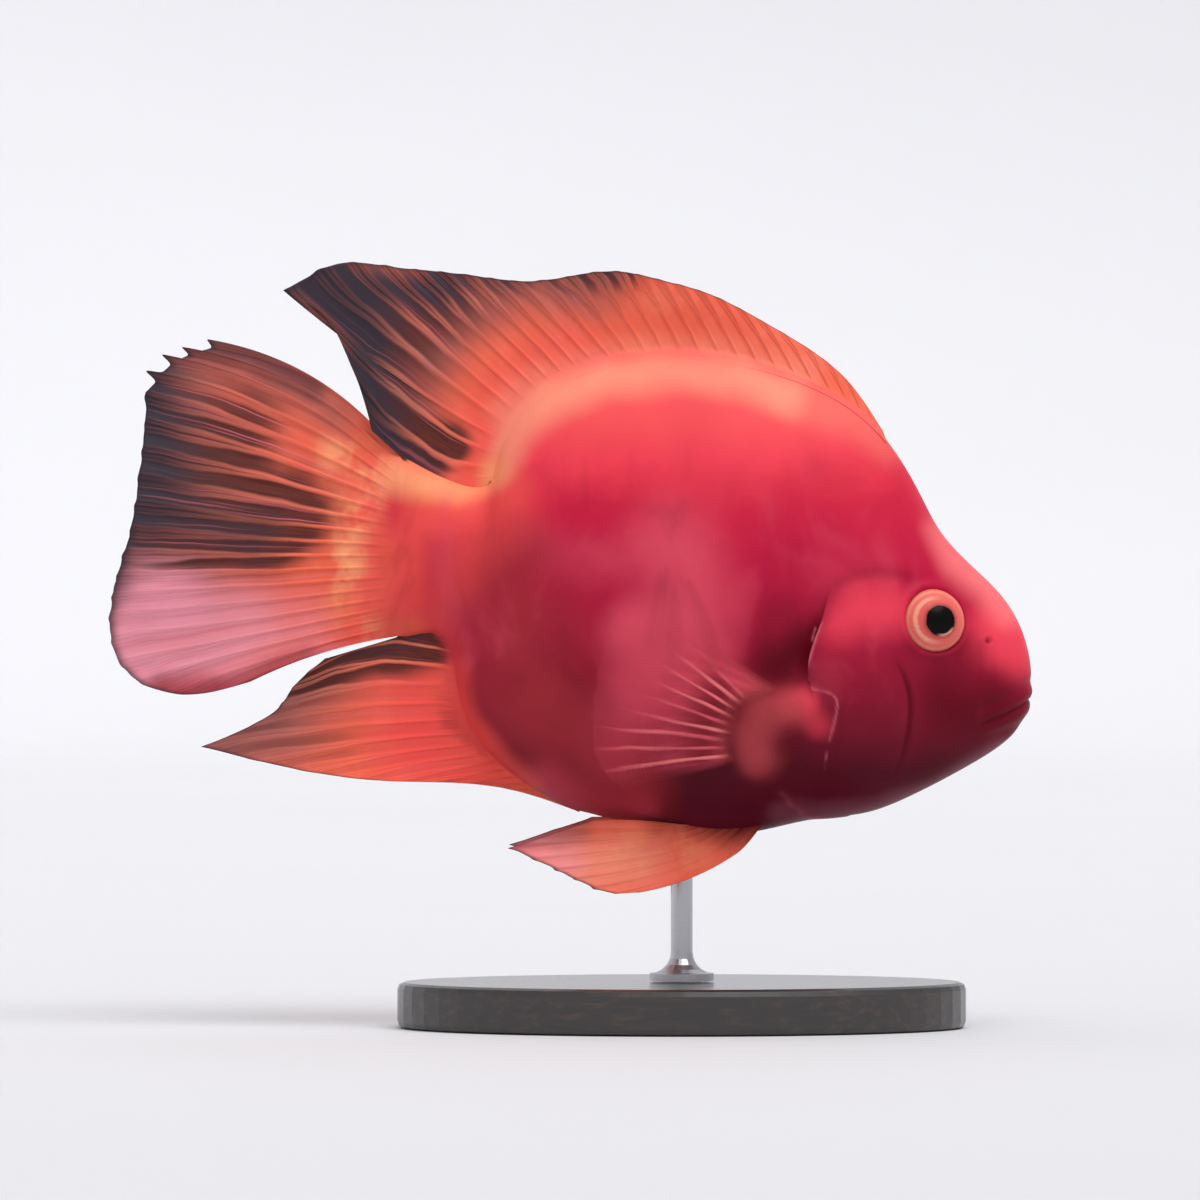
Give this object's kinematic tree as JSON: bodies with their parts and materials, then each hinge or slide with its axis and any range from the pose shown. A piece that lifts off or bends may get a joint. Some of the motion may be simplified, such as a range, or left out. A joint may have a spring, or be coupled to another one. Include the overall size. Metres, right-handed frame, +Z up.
{
  "type": "blood parrot cichlid museum model",
  "caption": "Life-size still model of a deep-bodied red aquarium fish with spread fins, held over an oval display base by one rod.",
  "frame": {"origin": "centre of the whole model's length and width, on the surface that the stand rests on", "axes": "+X towards the snout, +Y to the fish's left side, +Z up"},
  "size_m": [0.2016, 0.078, 0.167],
  "materials": {
    "skin": "smooth moist fish skin, crimson flank, coral back, darker belly",
    "fin": "satin fin membrane with raised rays, orange with smoky edges",
    "tail_fin": "satin fin membrane with raised rays, orange root, charcoal and mauve blade",
    "eye": "clear gloss, orange-pink iris and black pupil",
    "stand_wood": "black satin lacquer",
    "stand_metal": "satin"
  },
  "bodies": {
    "root": {"head": "skin", "gill_cover_left": "skin", "gill_cover_right": "skin", "trunk": "skin", "tail_stalk": "skin", "eye_left": "eye", "eye_right": "eye", "dorsal_fin": "fin", "tail_fin": "tail_fin", "anal_fin": "fin", "pelvic_fin_left": "fin", "pelvic_fin_right": "fin", "pectoral_fin_left": "fin", "pectoral_fin_right": "fin", "stand_base": "stand_wood", "stand_rod": "stand_metal"}
  },
  "joints": []
}
